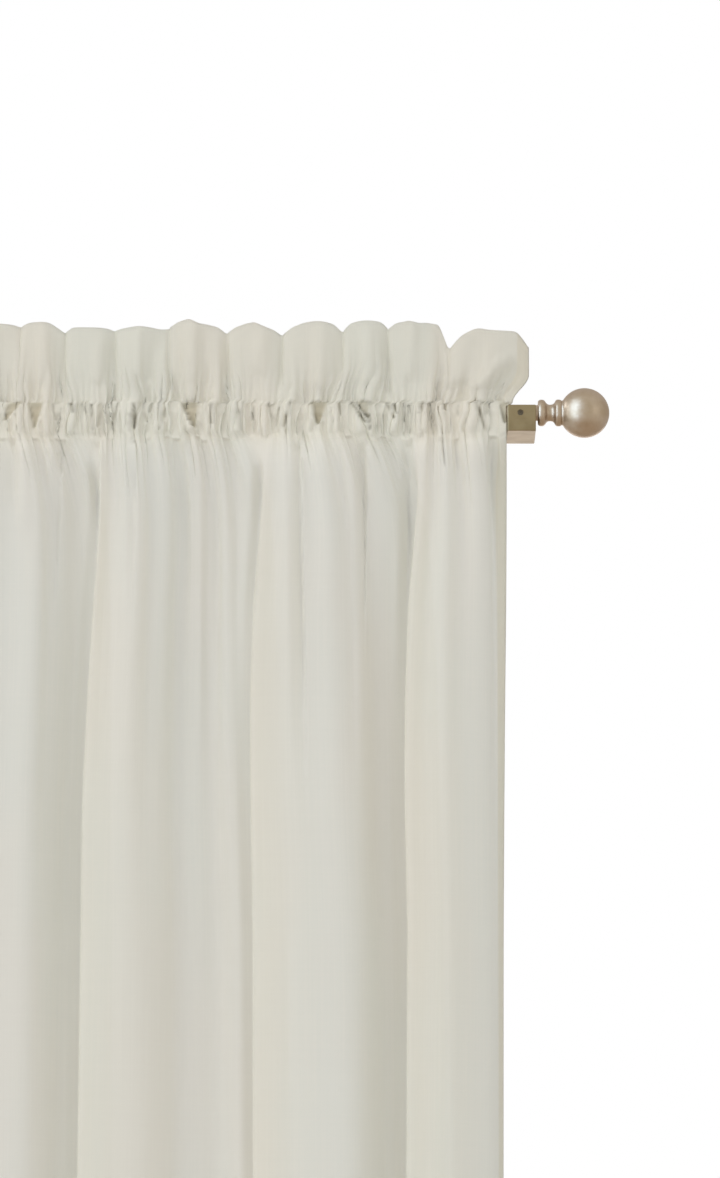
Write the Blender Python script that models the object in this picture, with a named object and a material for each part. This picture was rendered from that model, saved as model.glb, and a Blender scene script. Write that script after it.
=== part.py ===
"""A sheer voile curtain gathered on a slim metal rod.

The curtain is one sheet of cloth with a rod pocket and a ruffled heading above it. The rod rests in
two wall brackets and ends in turned ball finials. Metres, +Z up, +X to the right as seen from the
room, +Y towards the wall. The origin is on the back face of the right bracket's wall plate, level
with the rod.
"""

import math
from collections import namedtuple

import bmesh
import bpy
import numpy as np
from mathutils import Matrix

# Rod and brackets
ROD_RADIUS = 0.008
ROD_OFF_WALL = 0.064            # rod axis to the wall
BRACKET_SPACING = 0.683         # right bracket to left bracket, centre to centre
BRACKET_WIDTH = 0.0285
CUP_DEPTH = 0.024               # front to back of the cup that holds the rod
CUP_LIP_HEIGHT = 0.0065         # top of the cup's front wall, above the rod axis
CUP_BACK_HEIGHT = 0.003
CUP_FOOT_DROP = 0.020           # underside of the cup and the arm, below the rod axis
CUP_SLOT_RADIUS = 0.0084
ARM_THICKNESS = 0.005
PLATE_THICKNESS = 0.003
PLATE_TOP = 0.017
BRACKET_EDGE = 0.0008
WALL_HOLE_RADIUS = 0.002
WALL_HOLE_HEIGHTS = (0.0105, -0.0095)
SET_SCREW_RADIUS = 0.0027
SET_SCREW_PLACE = (-0.0012, -0.0015)   # along and above the rod axis, from the cup's centre
SET_SCREW_RECESS = 0.0008
SOCKET_RADIUS = 0.0013
SOCKET_DEPTH = 0.0012
FIT_GAP = 0.0003                # between pieces that touch

# Finials, from the face that meets the rod
FINIAL_START = 0.0165           # from the bracket's centre, along the rod
BALL_RADIUS = 0.025
BALL_CENTRE = 0.0467
ROD_SOCKET_DEPTH = 0.006
FINIAL_SIDES = 24
BALL_STEPS = 11

# Curtain
FINISHED_DROP = 2.134           # 84 in, top of the heading to the hem
CLOTH = 0.0012                  # one layer
HEADING_HEIGHT = 0.078
UPPER_STITCH = 0.0110           # height of the heading's stitch line above the rod axis
LOWER_STITCH = -0.028
POCKET_ROOF = 0.0092            # inside of the pocket, above the rod axis
POCKET_FLOOR = -0.0262
POCKET_LEFT = -0.6665
POCKET_RIGHT = -0.0165
PANEL_LEFT = -0.669
PANEL_RIGHT = -0.014
POCKET_SWELL = 0.0035           # how far the pocket stands off the rod between pinches
POCKET_SECTION = ((45, 0.0091), (0, 0.0091), (-45, 0.0100))   # degrees up from level, inner radius

# The heading, a row for each puff from left to right: its right edge along the upper stitch line and
# along the top, the cloth gathered into it, the height of its top at the left, crown and right as
# shares of the heading, and how far it leans over the puff on its left, in degrees.
Puff = namedtuple("Puff", "stitch_x top_x flat left crown right lean")
PUFFS = (
    Puff(-0.613, -0.613, 0.095, 0.93, 1.03, 0.93, 10),
    Puff(-0.557, -0.558, 0.134, 0.93, 1.01, 0.90, 11),
    Puff(-0.5015, -0.502, 0.101, 0.90, 1.01, 0.96, 10),
    Puff(-0.457, -0.458, 0.068, 0.96, 1.02, 0.88, 9),
    Puff(-0.407, -0.408, 0.141, 0.88, 0.96, 0.91, 11),
    Puff(-0.354, -0.354, 0.100, 0.91, 0.96, 0.94, 9),
    Puff(-0.297, -0.296, 0.095, 0.94, 1.05, 0.88, 9),
    Puff(-0.241, -0.240, 0.128, 0.87, 1.02, 0.85, 10),
    Puff(-0.190, -0.179, 0.104, 0.85, 1.03, 0.88, 9),
    Puff(-0.138, -0.135, 0.082, 0.90, 1.04, 0.97, 11),
    Puff(-0.077, -0.0735, 0.160, 0.92, 1.02, 0.68, 9),
    Puff(-0.009, 0.0075, 0.113, 0.62, 0.91, 0.70, 2),
)
PUFF_HEADING = 89               # degrees that the cloth swings each way round a puff at the top
PINCH_SHARE = 0.12              # share of a puff's cloth in each side of a pinch
HAIRPIN_SHARE = 0.06
PUFF_BACK = 0.11                # how far the pinches lie behind the rod axis, as a share of the cloth
PUFF_SAMPLES = 401
TOP_ROUNDING = 2.5              # how late the top edge falls away from a puff's crown
PUFF_COLUMNS = (0.0, 0.05, 0.13, 0.25, 0.375, 0.5, 0.625, 0.75, 0.87, 0.95)
HEADING_ROWS = ((0.0, 0.22), (0.22, 0.60), (0.48, 0.88), (1.0, 1.0))   # share of height, of fullness

# The long folds, a row for each stretch of cloth from left to right: its flat length, the way it
# runs in plan (0 along the rod, positive towards the wall, in degrees) and the length over which it
# turns into the next stretch. A tuck doubles back behind the face that follows it.
Stretch = namedtuple("Stretch", "name flat heading turn")
STRETCHES = (
    Stretch("left side hem", 0.040, -72, 0.026),
    Stretch("left face", 0.040, 4, 0.030),
    Stretch("left slope", 0.048, 56, 0.030),
    Stretch("left valley", 0.044, 0, 0.022),
    Stretch("tuck 1", 0.058, -142, 0.012),
    Stretch("face 1, edge", 0.050, -8, 0.040),
    Stretch("face 1", 0.058, 8, 0.034),
    Stretch("slope 1", 0.050, 56, 0.034),
    Stretch("valley 1", 0.056, 0, 0.022),
    Stretch("tuck 2", 0.062, -142, 0.012),
    Stretch("face 2, edge", 0.040, -7, 0.036),
    Stretch("face 2", 0.045, 8, 0.034),
    Stretch("slope 2", 0.056, 52, 0.030),
    Stretch("valley 2", 0.048, 6, 0.024),
    Stretch("step in valley 2", 0.034, -42, 0.020),
    Stretch("shelf in valley 2", 0.054, 6, 0.022),
    Stretch("tuck 3", 0.056, -142, 0.012),
    Stretch("face 3, edge", 0.050, -7, 0.044),
    Stretch("face 3", 0.056, 8, 0.036),
    Stretch("slope 3", 0.062, 57, 0.034),
    Stretch("valley 3", 0.066, -2, 0.022),
    Stretch("tuck 4", 0.062, -142, 0.012),
    Stretch("face 4, edge", 0.048, -7, 0.040),
    Stretch("face 4", 0.050, 7, 0.030),
    Stretch("right side hem", 0.040, 74, 0.020),
)
# Where each tuck's crisp edge hangs, a row for each of four drops below the pocket
EdgePath = namedtuple("EdgePath", "drop edge1 edge2 edge3 edge4 right")
EDGE_PATHS = (
    EdgePath(0.00, -0.575, -0.425, -0.252, -0.110, -0.014),
    EdgePath(0.20, -0.584, -0.434, -0.273, -0.120, -0.016),
    EdgePath(0.50, -0.588, -0.441, -0.270, -0.117, -0.019),
    EdgePath(2.02, -0.581, -0.449, -0.262, -0.122, -0.023),
)
FOLD_SETTLE = 0.065             # drop over which the gathers open into the long folds
FOLD_START = 0.07               # share of the long folds that shows at the lower stitch line
RIPPLE_DEPTH = 0.016            # pleats under the puffs that carry on below the pocket
RIPPLE_START = 0.030
RIPPLE_FADE = 0.085
SOFT_HEIGHT = 0.20              # cloth this close to the pocket is rounded more, lest its bends cross
SOFT_PASSES_HIGH = 3
SOFT_PASSES_LOW = 1
PANEL_DROPS = (0.0, 0.022, 0.055, 0.10, 0.16, 0.24, 0.36, 0.55, 0.82, 1.15, 1.55)
STEP = 0.0005                   # step along the cloth in the sums below


def smooth(t):
    t = np.clip(t, 0.0, 1.0)
    return t * t * (3 - 2 * t)


def soften(values, passes):
    """Rounds a row of numbers, its two ends kept."""
    values = values.copy()
    for _ in range(passes):
        values[1:-1] = (values[:-2] + 2 * values[1:-1] + values[2:]) / 4
    return values


# ---- Plan curves of the cloth ----

def puff_curve(lean):
    """One puff at its fullest: shares of its cloth, of its width, and its depth per length of cloth."""
    share = np.linspace(0.0, 1.0, PUFF_SAMPLES)
    corners = (0.0, HAIRPIN_SHARE, PINCH_SHARE, 1 - PINCH_SHARE, 1 - HAIRPIN_SHARE, 1.0)
    swing = np.interp(share, corners, (0, -1, -1, 1, 1, 0))
    heading = np.radians(PUFF_HEADING * swing - lean)
    middle = (heading[1:] + heading[:-1]) / 2
    along = np.concatenate(([0.0], np.cumsum(np.cos(middle)))) / len(middle)
    depth = np.concatenate(([0.0], np.cumsum(np.sin(middle)))) / len(middle)
    return share, along / along[-1], depth - share * depth[-1]


def fold_curve():
    """The long folds in plan: flat position, place along the rod and depth."""
    total = sum(s.flat for s in STRETCHES)
    flat = np.arange(0.0, total + STEP / 2, STEP)
    heading = np.full_like(flat, STRETCHES[0].heading)
    edge = 0.0
    for before, after in zip(STRETCHES, STRETCHES[1:]):
        edge += before.flat
        heading += (after.heading - before.heading) * smooth((flat - edge) / before.turn + 0.5)
    middle = np.radians((heading[1:] + heading[:-1]) / 2)
    along = np.concatenate(([0.0], np.cumsum(np.cos(middle) * STEP)))
    depth = np.concatenate(([0.0], np.cumsum(np.sin(middle) * STEP)))
    along = PANEL_LEFT + along * (PANEL_RIGHT - PANEL_LEFT) / along[-1]
    depth = depth - (depth.max() + depth.min()) / 2
    return flat, along, depth


def crisp_edges(flat, along):
    """Where each tuck turns over, read from the fold curve: the leftmost point after the tuck."""
    edges = []
    place = 0.0
    for stretch in STRETCHES:
        place += stretch.flat
        if stretch.name.startswith("tuck"):
            near = (flat > place - stretch.flat / 2) & (flat < place + stretch.flat / 2)
            edges.append(along[near].min())
    return edges


def columns():
    """Every column of the mesh: its puff, its share of that puff and its flat position."""
    puff_of, share, flat = [], [], []
    start = 0.0
    for number, puff in enumerate(PUFFS):
        for s in PUFF_COLUMNS:
            puff_of.append(number)
            share.append(s)
            flat.append(start + s * puff.flat)
        start += puff.flat
    puff_of.append(len(PUFFS) - 1)
    share.append(1.0)
    flat.append(start)
    return np.array(puff_of), np.array(share), np.array(flat)


class Cloth:
    """The curtain's middle surface, a row of points at a time."""

    def __init__(self):
        self.puff_of, self.share, self.flat = columns()
        self.count = len(self.flat)
        stitch = np.array([POCKET_LEFT] + [p.stitch_x for p in PUFFS])
        top = np.array([POCKET_LEFT] + [p.top_x for p in PUFFS])
        self.stitch_x = stitch[self.puff_of] + self.share * np.diff(stitch)[self.puff_of]
        self.top_left = top[self.puff_of]
        self.top_width = np.diff(top)[self.puff_of]
        scale = (POCKET_RIGHT - POCKET_LEFT) / (stitch[-1] - stitch[0])
        self.pocket_x = POCKET_LEFT + (self.stitch_x - POCKET_LEFT) * scale
        self.puff_x = np.zeros(self.count)
        self.puff_y = np.zeros(self.count)
        self.top_height = np.zeros(self.count)
        for i, (number, s) in enumerate(zip(self.puff_of, self.share)):
            puff = PUFFS[number]
            shares, along, depth = puff_curve(puff.lean)
            self.puff_x[i] = np.interp(s, shares, along)
            self.puff_y[i] = (np.interp(s, shares, depth) + PUFF_BACK) * puff.flat
            side = puff.left if s < 0.5 else puff.right
            self.top_height[i] = puff.crown + (side - puff.crown) * abs(2 * s - 1) ** TOP_ROUNDING
        fold_flat, fold_x, fold_y = fold_curve()
        stretch = fold_flat[-1] / self.flat[-1]
        self.fold_x = np.interp(self.flat * stretch, fold_flat, fold_x)
        self.fold_y = np.interp(self.flat * stretch, fold_flat, fold_y)
        self.edges = crisp_edges(fold_flat, fold_x)

    def heading_row(self, height_share, fullness):
        """A row across the heading. height_share runs from the stitch line to the top edge."""
        stitched = self.stitch_x
        full = self.top_left + self.top_width * self.puff_x
        plain = self.top_left + self.top_width * self.share
        spread = stitched + (plain - stitched) * height_share
        x = spread + (full - plain) * fullness
        y = self.puff_y * fullness
        z = UPPER_STITCH + HEADING_HEIGHT * height_share * self.top_height
        return x, y, z

    def panel_row(self, drop):
        """A row across the panel, drop metres below the lower stitch line."""
        opened = 1 - (1 - FOLD_START) * math.exp(-drop / FOLD_SETTLE)
        drops = [p.drop for p in EDGE_PATHS]
        wanted = [np.interp(drop, drops, [p[k] for p in EDGE_PATHS]) for k in range(1, 6)]
        anchors = [PANEL_LEFT, *self.edges, PANEL_RIGHT]
        shifts = [0.0, *[w - e for w, e in zip(wanted, [*self.edges, PANEL_RIGHT])]]
        folded = self.fold_x + np.interp(self.fold_x, anchors, shifts)
        ripple = RIPPLE_DEPTH * math.exp(-drop / RIPPLE_FADE) * (1 - math.exp(-drop / RIPPLE_START))
        x = self.pocket_x + (folded - self.pocket_x) * opened
        y = self.fold_y * opened + ripple * np.cos(2 * np.pi * self.share)
        passes = SOFT_PASSES_HIGH if drop < SOFT_HEIGHT else SOFT_PASSES_LOW
        return soften(x, passes), soften(y, passes), np.full(self.count, LOWER_STITCH - drop)


# ---- Meshes ----

def sides(x, y, thickness):
    """Front and back of a row of cloth: the plan curve moved each way along its normal."""
    dx, dy = np.gradient(x), np.gradient(y)
    length = np.hypot(dx, dy)
    nx, ny = -dy / length * thickness / 2, dx / length * thickness / 2
    return (x - nx, y - ny), (x + nx, y + ny)


def add_row(mesh, x, y, z):
    """A row of vertices, with y counted from the rod axis towards the wall."""
    y = y - ROD_OFF_WALL
    return [mesh.verts.new(point) for point in zip(x, y, z)]


def skin(mesh, rows):
    """Faces between neighbouring rows of vertices."""
    for upper, lower in zip(rows, rows[1:]):
        for i in range(len(upper) - 1):
            mesh.faces.new((upper[i], lower[i], lower[i + 1], upper[i + 1]))


def pocket_rows(mesh, cloth, side):
    """Outer and inner rows of one side of the pocket, top to bottom. side is -1 for the front."""
    swell = POCKET_SWELL * np.sin(np.pi * cloth.share) ** 2
    outer, inner = [], []
    for degrees, radius in POCKET_SECTION:
        angle = math.radians(degrees)
        for rows, reach in ((inner, radius + swell), (outer, radius + swell + CLOTH)):
            y, z = side * reach * math.cos(angle), reach * math.sin(angle)
            rows.append(add_row(mesh, cloth.pocket_x, y, z))
    return outer, inner


def curtain():
    """The whole curtain, one closed sheet: heading, pocket round the rod, and panel."""
    cloth = Cloth()
    mesh = bmesh.new()
    front, back = [], []
    for height_share, fullness in reversed(HEADING_ROWS):
        x, y, z = cloth.heading_row(height_share, fullness)
        (fx, fy), (bx, by) = sides(x, y, 2 * CLOTH)
        front.append(add_row(mesh, fx, fy, z))
        back.append(add_row(mesh, bx, by, z))
    heading_count = len(front)

    outer_front, inner_front = pocket_rows(mesh, cloth, -1)
    outer_back, inner_back = pocket_rows(mesh, cloth, 1)
    level = np.zeros(cloth.count)
    roof = add_row(mesh, cloth.pocket_x, level, level + POCKET_ROOF)
    seam_x, seam_y, _ = cloth.panel_row(0.0)
    floor = add_row(mesh, seam_x, seam_y, level + POCKET_FLOOR)
    front += outer_front
    back += outer_back

    hem_drop = FINISHED_DROP - HEADING_HEIGHT - UPPER_STITCH + LOWER_STITCH
    for drop in (*PANEL_DROPS, hem_drop):
        x, y, z = cloth.panel_row(drop)
        (fx, fy), (bx, by) = sides(x, y, CLOTH if drop else 2 * CLOTH)
        front.append(add_row(mesh, fx, fy, z))
        back.append(add_row(mesh, bx, by, z))

    skin(mesh, front)
    skin(mesh, back[::-1])
    skin(mesh, [roof, *inner_front, floor][::-1])
    skin(mesh, [roof, *inner_back, floor])
    skin(mesh, [back[0], front[0]])
    skin(mesh, [front[-1], back[-1]])
    close_side(mesh, front, back, roof, floor, inner_front, inner_back, heading_count, 0)
    close_side(mesh, front, back, roof, floor, inner_front, inner_back, heading_count, -1)
    return finish_mesh(mesh, "curtain")


def close_side(mesh, front, back, roof, floor, inner_front, inner_back, heading_count, end):
    """Closes one side edge of the curtain, and leaves the pocket open."""
    last = len(front) - 1
    stitched = heading_count - 1
    lower = heading_count + len(inner_front)
    for i in range(stitched):
        mesh.faces.new((front[i][end], front[i + 1][end], back[i + 1][end], back[i][end]))
    for i in range(lower, last):
        mesh.faces.new((front[i][end], front[i + 1][end], back[i + 1][end], back[i][end]))
    mesh.faces.new((front[stitched][end], roof[end], back[stitched][end]))
    mesh.faces.new((front[lower][end], floor[end], back[lower][end]))
    for outer, inner in ((front, inner_front), (back, inner_back)):
        line = [roof, *inner, floor]
        for i, (above, below) in enumerate(zip(line, line[1:])):
            row = stitched + i
            mesh.faces.new((outer[row][end], outer[row + 1][end], below[end], above[end]))


def finish_mesh(mesh, name):
    """Turns the faces outwards and makes the object."""
    bmesh.ops.recalc_face_normals(mesh, faces=mesh.faces)
    data = bpy.data.meshes.new(name)
    mesh.to_mesh(data)
    mesh.free()
    piece = bpy.data.objects.new(name, data)
    bpy.context.scene.collection.objects.link(piece)
    return piece


def round_shading(piece, degrees):
    piece.data.shade_smooth()
    piece.data.set_sharp_from_angle(angle=math.radians(degrees))


def turned(name, profile, start, direction):
    """A piece turned about the rod's axis. The profile gives (distance along, radius) in order."""
    mesh = bmesh.new()
    points = [mesh.verts.new((start + direction * t, -ROD_OFF_WALL, r)) for t, r in profile]
    edges = [mesh.edges.new(pair) for pair in zip(points, points[1:])]
    bmesh.ops.spin(mesh, geom=[*points, *edges], cent=(start, -ROD_OFF_WALL, 0), axis=(1, 0, 0),
                   angle=math.tau, steps=FINIAL_SIDES, use_merge=True)
    bmesh.ops.remove_doubles(mesh, verts=mesh.verts, dist=0.00002)
    piece = finish_mesh(mesh, name)
    round_shading(piece, 35)
    return piece


def finial(name, bracket_x, direction):
    """A bead, a waisted neck and a collar that carry the ball, with a socket for the rod's end."""
    socket = ROD_RADIUS + FIT_GAP
    profile = [
        (ROD_SOCKET_DEPTH, 0.0), (ROD_SOCKET_DEPTH, socket), (0.0, socket), (0.0, 0.0112),
        (0.0012, 0.0128), (0.0036, 0.0134), (0.0060, 0.0129), (0.0078, 0.0108),
        (0.0094, 0.0090), (0.0120, 0.0083), (0.0146, 0.0087), (0.0166, 0.0104),
        (0.0178, 0.0126), (0.0200, 0.0135), (0.0226, 0.0132), (0.0238, 0.0123),
    ]
    first = math.asin(0.0128 / BALL_RADIUS)
    for i in range(BALL_STEPS + 1):
        angle = first + (math.pi - first) * i / BALL_STEPS
        radius = BALL_RADIUS * math.sin(angle) if i < BALL_STEPS else 0.0
        profile.append((BALL_CENTRE - BALL_RADIUS * math.cos(angle), radius))
    return turned(name, profile, bracket_x + direction * FINIAL_START, direction)


def rod():
    """The plain round rod, whose ends sit in the finials."""
    reach = FINIAL_START + ROD_SOCKET_DEPTH - FIT_GAP
    length = BRACKET_SPACING + 2 * reach
    return turned("rod", [(0, 0), (0, ROD_RADIUS), (length, ROD_RADIUS), (length, 0)],
                  -BRACKET_SPACING - reach, 1)


def cylinder_cutter(name, centre, radius, length, sides_count):
    """A round tool along Y that cuts a hole."""
    bpy.ops.mesh.primitive_cylinder_add(vertices=sides_count, radius=radius, depth=length,
                                        location=centre, rotation=(math.pi / 2, 0, 0))
    cutter = bpy.context.object
    cutter.name = name
    cutter.hide_render = True
    cutter.display_type = "WIRE"
    return cutter


def cut(piece, cutter):
    hole = piece.modifiers.new(cutter.name, "BOOLEAN")
    hole.operation = "DIFFERENCE"
    hole.solver = "EXACT"
    hole.object = cutter


def bracket(name, bracket_x):
    """Wall plate, arm and open cup in one piece, its profile drawn from the side."""
    front = -ROD_OFF_WALL - CUP_DEPTH / 2
    rear = -ROD_OFF_WALL + CUP_DEPTH / 2
    arm_top = ARM_THICKNESS - CUP_FOOT_DROP
    outline = [
        (front, CUP_LIP_HEIGHT), (front, -CUP_FOOT_DROP), (0.0, -CUP_FOOT_DROP), (0.0, PLATE_TOP),
        (-PLATE_THICKNESS, PLATE_TOP), (-PLATE_THICKNESS, arm_top), (rear, arm_top),
        (rear, CUP_BACK_HEIGHT), (-ROD_OFF_WALL + CUP_SLOT_RADIUS, CUP_BACK_HEIGHT),
    ]
    for i in range(13):
        angle = math.pi * i / 12
        outline.append((-ROD_OFF_WALL + CUP_SLOT_RADIUS * math.cos(angle),
                        -CUP_SLOT_RADIUS * math.sin(angle)))
    outline.append((-ROD_OFF_WALL - CUP_SLOT_RADIUS, CUP_LIP_HEIGHT))

    mesh = bmesh.new()
    left = bracket_x - BRACKET_WIDTH / 2
    face = mesh.faces.new([mesh.verts.new((left, y, z)) for y, z in outline])
    grown = bmesh.ops.extrude_face_region(mesh, geom=[face])["geom"]
    moved = [v for v in grown if isinstance(v, bmesh.types.BMVert)]
    bmesh.ops.translate(mesh, verts=moved, vec=(BRACKET_WIDTH, 0, 0))
    piece = finish_mesh(mesh, name)

    edge = piece.modifiers.new("edges", "BEVEL")
    edge.width = BRACKET_EDGE
    edge.segments = 2
    edge.limit_method = "ANGLE"
    edge.angle_limit = math.radians(40)
    for number, height in enumerate(WALL_HOLE_HEIGHTS):
        cut(piece, cylinder_cutter(f"{name}_wall_hole_{number}", (bracket_x, -PLATE_THICKNESS / 2, height),
                                   WALL_HOLE_RADIUS, 4 * PLATE_THICKNESS, 16))
    along, up = SET_SCREW_PLACE
    wall_middle = -ROD_OFF_WALL - (CUP_DEPTH / 2 + CUP_SLOT_RADIUS) / 2
    cut(piece, cylinder_cutter(f"{name}_screw_hole", (bracket_x + along, wall_middle, up),
                               SET_SCREW_RADIUS + FIT_GAP, CUP_DEPTH / 3, 20))
    round_shading(piece, 30)
    return piece


def set_screw(name, bracket_x):
    """The grub screw in the cup's front wall that holds the rod, with a six-sided socket."""
    along, up = SET_SCREW_PLACE
    start = -ROD_OFF_WALL - CUP_DEPTH / 2 + SET_SCREW_RECESS
    tip = -ROD_OFF_WALL - ROD_RADIUS - FIT_GAP
    mesh = bmesh.new()
    end = bmesh.ops.create_circle(mesh, cap_ends=True, segments=18, radius=SET_SCREW_RADIUS)["verts"]
    bmesh.ops.rotate(mesh, verts=end, cent=(0, 0, 0), matrix=Matrix.Rotation(math.pi / 2, 3, "X"))
    bmesh.ops.translate(mesh, verts=end, vec=(bracket_x + along, start, up))
    grown = bmesh.ops.extrude_face_region(mesh, geom=list(mesh.faces))["geom"]
    moved = [v for v in grown if isinstance(v, bmesh.types.BMVert)]
    bmesh.ops.translate(mesh, verts=moved, vec=(0, tip - start, 0))
    piece = finish_mesh(mesh, name)
    cut(piece, cylinder_cutter(f"{name}_socket", (bracket_x + along, start, up),
                               SOCKET_RADIUS, 2 * SOCKET_DEPTH, 6))
    round_shading(piece, 30)
    return piece


# ---- Materials ----

def material(name, colour, roughness, metallic):
    made = bpy.data.materials.new(name)
    made.use_nodes = True
    shader = made.node_tree.nodes["Principled BSDF"]
    shader.inputs["Base Color"].default_value = (*colour, 1.0)
    shader.inputs["Roughness"].default_value = roughness
    shader.inputs["Metallic"].default_value = metallic
    return made


def main():
    for old in list(bpy.data.objects):
        bpy.data.objects.remove(old)
    voile = material("off-white voile", (0.72, 0.70, 0.66), 0.9, 0.0)
    nickel = material("champagne nickel", (0.48, 0.42, 0.34), 0.32, 1.0)
    steel = material("dull steel", (0.35, 0.32, 0.28), 0.4, 1.0)

    cloth = curtain()
    round_shading(cloth, 60)
    cloth.data.materials.append(voile)
    bar = rod()
    bar.data.materials.append(nickel)
    for side, bracket_x, direction in (("right", 0.0, 1), ("left", -BRACKET_SPACING, -1)):
        for piece in (finial(f"finial_{side}", bracket_x, direction), bracket(f"bracket_{side}", bracket_x)):
            piece.data.materials.append(nickel)
        set_screw(f"set_screw_{side}", bracket_x).data.materials.append(steel)


main()
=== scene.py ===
# Sheer voile curtain gathered on a slim rod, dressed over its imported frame.
# Metres, +Z up, +X to the right as seen from the room, +Y towards the wall.

import math

import bmesh
import bpy
import numpy as np
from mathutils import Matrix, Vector


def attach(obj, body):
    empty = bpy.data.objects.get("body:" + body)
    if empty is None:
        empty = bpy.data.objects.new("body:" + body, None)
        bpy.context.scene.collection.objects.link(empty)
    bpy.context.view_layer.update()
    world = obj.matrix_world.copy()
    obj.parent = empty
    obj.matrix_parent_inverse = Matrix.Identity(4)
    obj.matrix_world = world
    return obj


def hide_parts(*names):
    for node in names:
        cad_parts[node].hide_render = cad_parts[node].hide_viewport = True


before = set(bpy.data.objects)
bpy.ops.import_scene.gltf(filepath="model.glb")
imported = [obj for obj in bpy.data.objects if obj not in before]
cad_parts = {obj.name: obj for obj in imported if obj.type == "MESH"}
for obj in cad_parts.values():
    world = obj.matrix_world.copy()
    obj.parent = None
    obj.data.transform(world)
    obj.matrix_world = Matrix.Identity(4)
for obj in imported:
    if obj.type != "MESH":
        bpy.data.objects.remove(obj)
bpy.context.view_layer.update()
print("frame loaded:", len(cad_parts), "nodes")

rodY = -0.064            # rod axis to the wall
bracketSpacing = 0.683
bracketX = {"right": 0.0, "left": -bracketSpacing}


# Small helpers

def smooth(t):
    t = np.clip(t, 0.0, 1.0)
    return t * t * (3 - 2 * t)


def bell(distance, width):
    return np.exp(-(distance / width) ** 2)


def blur(values, passes):
    values = values.copy()
    for _ in range(passes):
        values[1:-1] = (values[:-2] + 2 * values[1:-1] + values[2:]) / 4
    return values


def bessel(order, swing, samples=24):
    t = (np.arange(samples) + 0.5) * math.pi / samples
    return np.cos(order * t[:, None] - np.sin(t)[:, None] * swing[None, :]).mean(0)


def finishPiece(mesh, name, materials):
    data = bpy.data.meshes.new(name)
    mesh.to_mesh(data)
    mesh.free()
    piece = bpy.data.objects.new(name, data)
    bpy.context.scene.collection.objects.link(piece)
    for made in materials:
        data.materials.append(made)
    data.shade_smooth()
    return piece


# Shader helpers

def newMaterial(name):
    made = bpy.data.materials.new(name)
    made.use_nodes = True
    nodes = made.node_tree.nodes
    return made, made.node_tree, nodes["Principled BSDF"], nodes["Material Output"]


def newGroup(name, inputs, outputs):
    group = bpy.data.node_groups.new(name, "ShaderNodeTree")
    for label, value in inputs.items():
        kind = "NodeSocketVector" if value is None else "NodeSocketFloat"
        made = group.interface.new_socket(name=label, in_out="INPUT", socket_type=kind)
        if value is not None:
            made.default_value = value
    for label in outputs:
        group.interface.new_socket(name=label, in_out="OUTPUT", socket_type="NodeSocketFloat")
    return group, group.nodes.new("NodeGroupInput").outputs, group.nodes.new("NodeGroupOutput")


# Gives a node's inputs their numbers and colours, or links other nodes' outputs to them
def feed(tree, node, values):
    for label, value in values.items():
        socket = node.inputs[label]
        if isinstance(value, bpy.types.NodeSocket):
            tree.links.new(value, socket)
        else:
            socket.default_value = value


def newNode(tree, kind, values, **settings):
    node = tree.nodes.new(kind)
    for name, setting in settings.items():
        setattr(node, name, setting)
    feed(tree, node, values)
    return node


def mathNode(tree, operation, *values):
    return newNode(tree, "ShaderNodeMath", dict(enumerate(values)), operation=operation).outputs[0]


def rangeNode(tree, value, fromLow, fromHigh, toLow=0.0, toHigh=1.0):
    values = {"Value": value, "From Min": fromLow, "From Max": fromHigh, "To Min": toLow, "To Max": toHigh}
    return newNode(tree, "ShaderNodeMapRange", values, interpolation_type="SMOOTHSTEP").outputs["Result"]


def noiseNode(tree, vector, scale, detail=2.0):
    values = {"Vector": vector, "Scale": scale, "Detail": detail}
    return newNode(tree, "ShaderNodeTexNoise", values).outputs["Fac"]


def stretched(tree, vector, scaleU, scaleV):
    values = {0: vector, 1: (scaleU, scaleV, 1.0)}
    return newNode(tree, "ShaderNodeVectorMath", values, operation="MULTIPLY").outputs[0]


def mixNode(tree, factor, first, second, blend="MIX"):
    values = {"Factor": factor, "A": first, "B": second}
    return newNode(tree, "ShaderNodeMix", values, data_type="RGBA", blend_type=blend).outputs["Result"]


def bumpNode(tree, height, strength, distance, normal=None):
    values = {"Height": height, "Strength": strength, "Distance": distance}
    if normal is not None:
        values["Normal"] = normal
    return newNode(tree, "ShaderNodeBump", values).outputs["Normal"]


def attributeNode(tree, name):
    return newNode(tree, "ShaderNodeAttribute", {}, attribute_name=name).outputs["Fac"]


def placeGroup(tree, group, values):
    return newNode(tree, "ShaderNodeGroup", values, node_tree=group).outputs


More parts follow.
